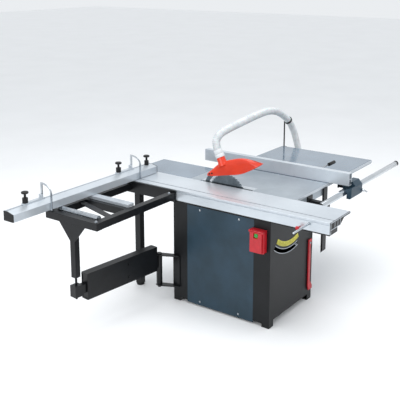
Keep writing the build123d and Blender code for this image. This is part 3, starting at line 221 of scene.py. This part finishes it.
def turned(start, along, profile, sides=32, edge=0.0):
    """A turned piece. profile gives (distance along the axis, radius) pairs."""
    bpy.ops.object.select_all(action="DESELECT")
    bpy.ops.mesh.primitive_circle_add(vertices=sides, radius=profile[0][1], fill_type="NGON",
                                      location=(0, 0, 0))
    obj = bpy.context.object
    bpy.ops.object.mode_set(mode="EDIT")
    bpy.ops.mesh.select_all(action="SELECT")
    for (z0, r0), (z1, r1) in zip(profile, profile[1:]):
        bpy.ops.mesh.extrude_region_move(TRANSFORM_OT_translate={"value": (0, 0, z1 - z0)})
        bpy.ops.transform.resize(value=(r1 / r0, r1 / r0, 1), center_override=(0, 0, z1 - profile[0][0]))
    bpy.ops.mesh.select_all(action="SELECT")
    bpy.ops.mesh.normals_make_consistent(inside=False)
    bpy.ops.object.mode_set(mode="OBJECT")
    turn = Vector((0, 0, 1)).rotation_difference(Vector(along).normalized())
    place = Matrix.Translation(Vector(start) + Vector(along).normalized() * profile[0][0])
    obj.data.transform(place @ turn.to_matrix().to_4x4())
    return soften(obj, edge)


def rod(a, b, radius, edge=0.0006, sides=32):
    a, b = Vector(a), Vector(b)
    return turned(a, b - a, [(0, radius), ((b - a).length, radius)], sides, edge)


def joined(parts):
    only(parts[0])
    for part in parts:
        part.select_set(True)
    bpy.ops.object.join()
    return bpy.context.object


def piece(name, parts, material, body):
    """Joins the parts into one named piece with a finish, and sets it on its body."""
    obj = joined(parts)
    obj.name = obj.data.name = name
    only(obj)
    bpy.ops.object.shade_smooth_by_angle(angle=math.radians(32))
    obj.data.materials.clear()
    obj.data.materials.append(material)
    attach(obj, body)
    return obj


# %% [markdown]
# ## Finishes
# Colours are given as they look on a screen and turned into the linear values that
# Blender works with. One function adds a shader node with its settings and its links.
# Scales are real sizes: a texture of 2 mm grains has a scale of 500 per metre.

# %% Colour and node helpers
def linear(code):
    """'#rrggbb' as linear red, green, blue, alpha."""
    parts = [int(code[i:i + 2], 16) / 255 for i in (1, 3, 5)]
    return tuple(c / 12.92 if c <= 0.04045 else ((c + 0.055) / 1.055) ** 2.4 for c in parts) + (1.0,)


def node(tree, kind, settings=(), links=()):
    """Adds one node. stops fill a colour ramp, names are sockets or settings."""
    made = tree.nodes.new("ShaderNode" + kind)
    for key, value in dict(settings).items():
        if key == "stops":
            ramp = made.color_ramp.elements
            while len(ramp) < len(value):
                ramp.new(0.5)
            for element, (place, colour) in zip(ramp, value):
                element.position = place
                element.color = colour
        elif isinstance(key, int) or key in made.inputs:
            made.inputs[key].default_value = value
        else:
            setattr(made, key, value)
    for key, (source, out) in dict(links).items():
        tree.links.new(source.outputs[out], made.inputs[key])
    return made


def per_metre(size_mm):
    """Texture scale whose features are about this many millimetres."""
    return 1000 / size_mm


def new_material(name):
    material = bpy.data.materials.new(name)
    material.use_nodes = True
    tree = material.node_tree
    return material, tree, tree.nodes["Principled BSDF"]


def surface(name, dark, light, size_mm, stretch=(1, 1, 1), grain_mm=1.5, bump=0.1, depth_mm=0.05,
            rough=(0.35, 0.45), **shader):
    """A finish whose colour drifts between two tones, with a fine grain in gloss and relief."""
    material, tree, bsdf = new_material(name)
    place = node(tree, "TexCoord")
    tone = node(tree, "TexNoise", {"Scale": per_metre(size_mm), "Detail": 5.0, "Roughness": 0.6},
                {"Vector": (place, "Object")})
    colour = node(tree, "ValToRGB", {"stops": [(0.3, linear(dark)), (0.7, linear(light))]},
                  {"Fac": (tone, "Fac")})
    drawn = node(tree, "Mapping", {"Scale": stretch}, {"Vector": (place, "Object")})
    grain = node(tree, "TexNoise", {"Scale": per_metre(grain_mm), "Detail": 3.0},
                 {"Vector": (drawn, "Vector")})
    gloss = node(tree, "MapRange", {"To Min": rough[0], "To Max": rough[1]}, {"Value": (grain, "Fac")})
    relief = node(tree, "Bump", {"Strength": bump, "Distance": mm(depth_mm)}, {"Height": (grain, "Fac")})
    tree.links.new(colour.outputs["Color"], bsdf.inputs["Base Color"])
    tree.links.new(gloss.outputs["Result"], bsdf.inputs["Roughness"])
    tree.links.new(relief.outputs["Normal"], bsdf.inputs["Normal"])
    for key, value in shader.items():
        bsdf.inputs[key.replace("_", " ")].default_value = value
    return material


# %% [markdown]
# The painted and moulded parts have a fine grain in their relief and a faint drift in
# colour. The metals are drawn along the part, so their grain is stretched that way.

# %% Painted and moulded finishes
powder_black = surface("black_powder_coat", "#0b0d0f", "#131518", 160, grain_mm=1.6, bump=0.35,
                       depth_mm=0.12, rough=(0.34, 0.5), IOR=1.5, Specular_IOR_Level=0.28)
powder_frame = surface("satin_black_enamel_on_tube", "#0a0b0d", "#121417", 90, grain_mm=2.2, bump=0.2,
                       depth_mm=0.1, rough=(0.28, 0.4), IOR=1.5, Specular_IOR_Level=0.3)
panel_paint = surface("slate_blue_powder_coat", "#1c303b", "#294050", 260, grain_mm=1.4, bump=0.3,
                      depth_mm=0.1, rough=(0.3, 0.42), IOR=1.5, Specular_IOR_Level=0.35)
slate_enamel = surface("glossy_slate_enamel_sheet", "#5a6a79", "#6c7c8b", 300, grain_mm=3.0, bump=0.06,
                       depth_mm=0.06, rough=(0.12, 0.2), IOR=1.5, Coat_Weight=0.5, Coat_Roughness=0.08)
black_abs = surface("moulded_black_abs", "#0a0a0b", "#131314", 30, grain_mm=0.9, bump=0.25,
                    depth_mm=0.06, rough=(0.38, 0.55), IOR=1.53, Specular_IOR_Level=0.3)
red_abs = surface("moulded_red_abs", "#a50d1c", "#bc1624", 60, grain_mm=1.0, bump=0.15,
                  depth_mm=0.05, rough=(0.28, 0.4), IOR=1.53)
hood_abs = surface("moulded_orange_red_abs", "#c42a08", "#d83610", 90, grain_mm=1.6, bump=0.12,
                   depth_mm=0.05, rough=(0.25, 0.36), IOR=1.53, Subsurface_Weight=0.03)
green_abs = surface("moulded_green_abs", "#0e7c34", "#169b45", 20, grain_mm=0.8, bump=0.15,
                    depth_mm=0.04, rough=(0.25, 0.35), IOR=1.53)
white_abs = surface("moulded_white_abs", "#c3c7ca", "#d6d9db", 30, grain_mm=0.9, bump=0.12,
                    depth_mm=0.04, rough=(0.3, 0.42), IOR=1.53)
yellow_enamel = surface("yellow_enamelled_scale", "#b8b233", "#cfc83c", 40, grain_mm=1.2, bump=0.1,
                        depth_mm=0.04, rough=(0.3, 0.42), IOR=1.5)
hose_pvc = surface("translucent_white_pvc_hose", "#b0b5b8", "#cbcfd1", 45, grain_mm=1.2, bump=0.1,
                   depth_mm=0.05, rough=(0.32, 0.46), IOR=1.53, Subsurface_Weight=0.08)
belt_rubber = surface("ground_black_rubber", "#131313", "#1e1e1f", 20, grain_mm=0.8, bump=0.4,
                      depth_mm=0.1, rough=(0.6, 0.75), IOR=1.52)

# %% Metals
cast_iron = surface("ground_cast_iron_top", "#959ea6", "#abb4bb", 240, stretch=(1, 0.04, 1), grain_mm=1.5,
                    bump=0.16, depth_mm=0.03, rough=(0.26, 0.4), Metallic=0.55)
alu_y = surface("anodised_aluminium_drawn_lengthwise", "#b7bec5", "#c9d0d6", 400, stretch=(1, 0.01, 1),
                grain_mm=1.8, bump=0.1, depth_mm=0.03, rough=(0.24, 0.36), Metallic=0.45)
alu_x = surface("anodised_aluminium_drawn_crosswise", "#b4bbc2", "#c7ced4", 400, stretch=(0.01, 1, 1),
                grain_mm=1.8, bump=0.1, depth_mm=0.03, rough=(0.24, 0.36), Metallic=0.45)
zinc_steel = surface("bright_zinc_plated_steel", "#a9afb5", "#c6cbd0", 30, grain_mm=1.0, bump=0.1,
                     depth_mm=0.03, rough=(0.18, 0.32), Metallic=1.0)
chrome = surface("chrome_plated_rail", "#c3c9ce", "#d9dde1", 200, stretch=(0.02, 1, 1), grain_mm=1.4,
                 bump=0.05, depth_mm=0.02, rough=(0.07, 0.14), Metallic=1.0)
machined = surface("turned_carbon_steel", "#8b9197", "#a4aab0", 40, grain_mm=0.8, bump=0.15,
                   depth_mm=0.04, rough=(0.25, 0.4), Metallic=1.0)
black_oxide = surface("black_oxide_fastener_steel", "#151617", "#242629", 20, grain_mm=0.8, bump=0.15,
                      depth_mm=0.04, rough=(0.3, 0.45), Metallic=0.8)
blade_steel = surface("ground_blade_steel", "#5c6469", "#7d858a", 60, grain_mm=1.0, bump=0.1,
                      depth_mm=0.03, rough=(0.24, 0.36), Metallic=1.0)
print("materials:", len(bpy.data.materials))

# %% [markdown]
# ## The blade hood
# The hood is a thin moulded shell. In side view it runs between a lower and an upper
# edge. A grid is wrapped over the blade from one edge to the other, so its section is
# rounded across, and it narrows at the nose and at the tail.

# %% Hood shell, neck, collar and screws
HOOD_LOW = [(299, 911), (214, 924), (121, 947), (-1, 969), (-95, 1018), (-174, 1072)]
HOOD_HIGH = [(296, 930), (250, 968), (199, 1016), (131, 1049), (60, 1072), (0, 1087), (-80, 1085)]
HOOD_X, HOOD_HALF, HOOD_WALL = -30, 24, 2.5
HOOD_ROWS, HOOD_COLUMNS = 56, 22
NECK_END, NECK_ALONG, NECK_R = mm(-30, 200, 1094), Vector((0, 0.443, 0.8965)), 31


def eased(line, times=3):
    """A line with its corners cut again and again."""
    for _ in range(times):
        cut = [line[0]]
        for a, b in zip(line, line[1:]):
            cut += [a.lerp(b, 0.25), a.lerp(b, 0.75)]
        line = cut + [line[-1]]
    return line


def in_steps(points, count):
    line = eased([mm(HOOD_X, y, z) for y, z in points])
    return evenly(line, sum((b - a).length for a, b in zip(line, line[1:])) / count)


lower, upper = in_steps(HOOD_LOW, HOOD_ROWS), in_steps(HOOD_HIGH, HOOD_ROWS)
bpy.ops.object.select_all(action="DESELECT")
bpy.ops.mesh.primitive_grid_add(x_subdivisions=HOOD_ROWS, y_subdivisions=HOOD_COLUMNS, size=1)
shell = bpy.context.object
for vertex in shell.data.vertices:
    run = vertex.co.x + 0.5
    row = round(run * HOOD_ROWS)
    turn = vertex.co.y * math.pi
    rise = max(0.0, math.cos(turn)) ** 0.55
    across = math.copysign(abs(math.sin(turn)) ** 0.8, turn)
    narrow = min(1.0, 0.3 + 8 * run, 0.3 + 8 * (1 - run))
    vertex.co = lower[row].lerp(upper[row], rise) + mm(HOOD_HALF * narrow * across, 0, 0)
with_modifier(shell, "SOLIDIFY", thickness=mm(HOOD_WALL), offset=0)
neck_foot = NECK_END - NECK_ALONG * mm(95)
neck_profile = [(0, mm(42)), (mm(16), mm(37)), (mm(34), mm(NECK_R)), (mm(92), mm(NECK_R))]
neck = turned(neck_foot, NECK_ALONG, neck_profile, 48, mm(1.5))
hood = piece("hood_shell", [shell, neck], hood_abs, "saw_unit")
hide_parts("hood")
collar = turned(neck_foot, NECK_ALONG, [(mm(64), mm(34)), (mm(92), mm(34))], 48, mm(1.2))
cuff = turned(neck_foot, NECK_ALONG, [(mm(93), mm(33)), (mm(124), mm(33))], 48, mm(2))
piece("hood_collar", [collar, cuff], white_abs, "saw_unit")
HOOD_SCREWS = [(268, 932), (245, 940)]
heads = [rod(mm(x, y, z), mm(x + 3, y, z), mm(6), mm(0.8), 24)
         for y, z in HOOD_SCREWS for x in (HOOD_X - HOOD_HALF - 3, HOOD_X + HOOD_HALF)]
shanks = [rod(mm(HOOD_X - HOOD_HALF, y, z), mm(HOOD_X + HOOD_HALF, y, z), mm(3), 0, 16)
          for y, z in HOOD_SCREWS]
piece("hood_screws", heads + shanks, black_oxide, "saw_unit")
print("hood triangles:", 2 * len(hood.data.polygons))

# %% [markdown]
# ## Small details
# The near end of the sliding table shows the bright webs of its extrusion in a dark
# cap. The tilt scale has a tick every three degrees above a bright-edged slot, the
# blade has brazed tips, and the start button sits on a yellow plate.

# %% Carriage end webs
END_Y = (-855.8, -854.6)
WEBS = [(-338, -334, 786, 865), (-338, -48, 861, 865), (-338, -196, 815, 819), (-280, -276, 819, 861),
        (-238, -234, 819, 861), (-200, -196, 815, 861), (-52, -48, 853, 861), (-143, -48, 851, 854)]
piece("carriage_end_webs", [block(mm(a, END_Y[0], c), mm(b, END_Y[1], d), mm(0.3)) for a, b, c, d in WEBS],
      alu_y, "carriage")

# %% Tilt scale ticks and the edges of its slot
def on_scale(radius, degrees, y):
    """A point at a radius and angle below the tilt axis, on the cabinet's front."""
    a = math.radians(degrees)
    return mm(-30 + radius * math.sin(a), y, 865 - radius * math.cos(a))


TICK_Y, TICK_STEP, FIRST_TICK, TICK_R = -411.3, 3, -34, 0.9
SLOT_EDGE_RADII, SLOT_EDGE_Y, SLOT_EDGE_R = (352, 384), -410, 2.4
ticks = []
for n in range(18):
    angle = FIRST_TICK + TICK_STEP * n
    inner = 304 if n % 3 else 312
    ticks.append(rod(on_scale(inner, angle, TICK_Y), on_scale(332, angle, TICK_Y), mm(TICK_R), 0, 8))
piece("tilt_scale_ticks", ticks, black_abs, "frame")
edges = [tube("slot_edge", [on_scale(r, a, SLOT_EDGE_Y) for a in range(-37, 17)],
              lambda k, n: mm(SLOT_EDGE_R), 12) for r in SLOT_EDGE_RADII]
piece("slot_edges", edges, alu_x, "frame")

# %% Start button plate, painted shade in the screw recesses, and outrigger bolts
piece("start_plate", [block(mm(-351.4, -343, 654), mm(-350, -307, 690), mm(0.5))], yellow_enamel, "frame")
# The thin black crosses on the screw heads are painted shade: they stand for the shade inside the cross
# recesses.
screw_x = low("cabinet_fittings").x
recess_painted_shade = []
for y in (-164, 166):
    for z in (41, 740):
        centre = Vector((screw_x, 0, 0)) + mm(0, y, z)
        recess_painted_shade += [block(centre - mm(0.3, 4, 0.8), centre + mm(0.3, 4, 0.8), 0),
                     block(centre - mm(0.3, 0.8, 4), centre + mm(0.3, 0.8, 4), 0)]
piece("panel_screw_recess_painted_shade", recess_painted_shade, black_oxide, "frame")
OUTRIGGER_TOP, WASHER_T, UP = 845, 1.6, (0, 0, 1)
bolts = []
for x in (-1135, -387):
    for y in (388, 794):
        bolts.append(turned(mm(x, y, OUTRIGGER_TOP), UP, [(0, mm(12)), (mm(WASHER_T), mm(12))], 32, mm(0.4)))
        bolts.append(turned(mm(x, y, OUTRIGGER_TOP + WASHER_T), UP, [(0, mm(8)), (mm(7), mm(8))], 6, mm(0.8)))
piece("outrigger_bolts", bolts, zinc_steel, "carriage")

# %% Brazed blade tips
BLADE = mm(-30, 126, 790)
TIP_R, TIP_T, TEETH = 157.5, 3.8, 40
tips = []
for n in range(TEETH):
    tip = block(mm(-TIP_T / 2, TIP_R - 9, -2), mm(TIP_T / 2, TIP_R - 0.6, 1.2), 0)
    turn = Matrix.Rotation(math.radians(n * 360 / TEETH - 1.4), 4, "X")
    tip.data.transform(Matrix.Translation(BLADE) @ turn)
    tips.append(tip)
piece("blade_tips", tips, zinc_steel, "arbor")

# %% [markdown]
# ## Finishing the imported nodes
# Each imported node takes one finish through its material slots. Most also get a small
# bevel, because a real edge is never perfectly sharp and catches a line of light.

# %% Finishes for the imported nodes
FINISH = {
    "cabinet": powder_black, "side_panel": panel_paint, "cabinet_fittings": zinc_steel,
    "tilt_scale": yellow_enamel, "motor_cover": powder_black, "dust_ports": powder_black,
    "switch_box": red_abs, "switch_flap": red_abs, "start_button": green_abs, "stop_button": red_abs,
    "push_stick": red_abs, "tilt_wheel": black_abs, "cast_table": cast_iron, "table_insert": alu_y,
    "side_table": slate_enamel, "outfeed_table": slate_enamel, "supports": powder_frame,
    "scale_strips": alu_x, "rail": chrome, "rail_brackets": powder_frame, "rip_head": panel_paint,
    "rip_fence": alu_y, "rip_lever": zinc_steel, "rip_lever_grip": black_abs, "rip_lock": zinc_steel,
    "beam": powder_frame, "carriage": alu_y, "carriage_caps": black_abs, "push_handle": zinc_steel,
    "lock_knob": red_abs, "outrigger_frame": powder_frame, "rest_bar": alu_y, "roller_axle": zinc_steel,
    "roller": zinc_steel, "outrigger_leg": powder_frame, "hinge_bracket": powder_frame,
    "swing_arm": powder_frame, "arm_bar": powder_frame, "crosscut_fence": alu_x, "fence_caps": black_abs,
    "fence_supports": powder_frame, "pivot_knob": black_abs, "stop_block_1": alu_x, "stop_block_2": alu_x,
    "stop_flag_1": zinc_steel, "stop_flag_2": zinc_steel, "stop_knob_1": black_abs, "stop_knob_2": black_abs,
    "carrier": machined, "rise_shaft": machined, "arbor_arm": machined, "arbor": machined,
    "blade": blade_steel, "belt": belt_rubber, "motor": powder_black, "motor_shaft": machined,
    "riving_knife": blade_steel, "hood": hood_abs, "hose_stand": powder_frame, "hose": hose_pvc}
# These keep their edges as they are: they are thin, finely toothed or shown by another piece.
SHARP = {"hose", "hood", "blade", "belt", "side_panel", "tilt_scale", "roller", "crosscut_fence"}
for name, obj in nodes.items():
    for slot_ in obj.material_slots:
        slot_.material = FINISH[name]
    if name in SHARP or obj.hide_render:
        continue
    weld = obj.modifiers.new("weld", "WELD")
    weld.merge_threshold = 0.00001
    edge = obj.modifiers.new("edge", "BEVEL")
    edge.width = mm(0.9)
    edge.segments = 2
    edge.limit_method = "ANGLE"
    edge.angle_limit = math.radians(40)
    edge.harden_normals = False
    edge.use_clamp_overlap = True
hose.data.materials.append(hose_pvc)
print("finished nodes:", len(FINISH))

# %% [markdown]
# ## The floor and the light
# A plain pale floor, and soft light from large panels, as in a small studio.

# %% Floor, sky and lamps
bpy.ops.object.select_all(action="DESELECT")
bpy.ops.mesh.primitive_plane_add(size=60, location=(0, 0, 0))
floor = bpy.context.object
floor.name = "studio_floor"
floor.data.materials.append(surface("pale_studio_floor", "#f4f5f6", "#f8f9fa", 900, grain_mm=30, bump=0.0,
                                    rough=(0.5, 0.6), IOR=1.45))

world = bpy.data.worlds.new("studio")
bpy.context.scene.world = world
world.use_nodes = True
world.node_tree.nodes["Background"].inputs["Color"].default_value = linear("#f6f9fc")
world.node_tree.nodes["Background"].inputs["Strength"].default_value = 0.9
bpy.context.scene.view_settings.view_transform = "Standard"


def lamp(name, place, target, size, power, colour="#ffffff"):
    bpy.ops.object.select_all(action="DESELECT")
    turn = (Vector(target) - Vector(place)).to_track_quat("-Z", "Y").to_euler()
    bpy.ops.object.light_add(type="AREA", location=place, rotation=turn)
    obj = bpy.context.object
    obj.name = name
    obj.data.shape = "RECTANGLE"
    obj.data.size, obj.data.size_y = size
    obj.data.energy = power
    obj.data.color = linear(colour)[:3]
    return obj


lamp("top_panel", (0.3, 0.2, 4.2), (0, 0, 0.6), (4.5, 3.5), 125)
lamp("left_panel", (-4.6, 0.6, 2.6), (-0.3, 0, 0.5), (2.5, 2.5), 70)
lamp("front_panel", (-1.5, -4.8, 2.4), (0, 0, 0.6), (3.5, 2.0), 34)
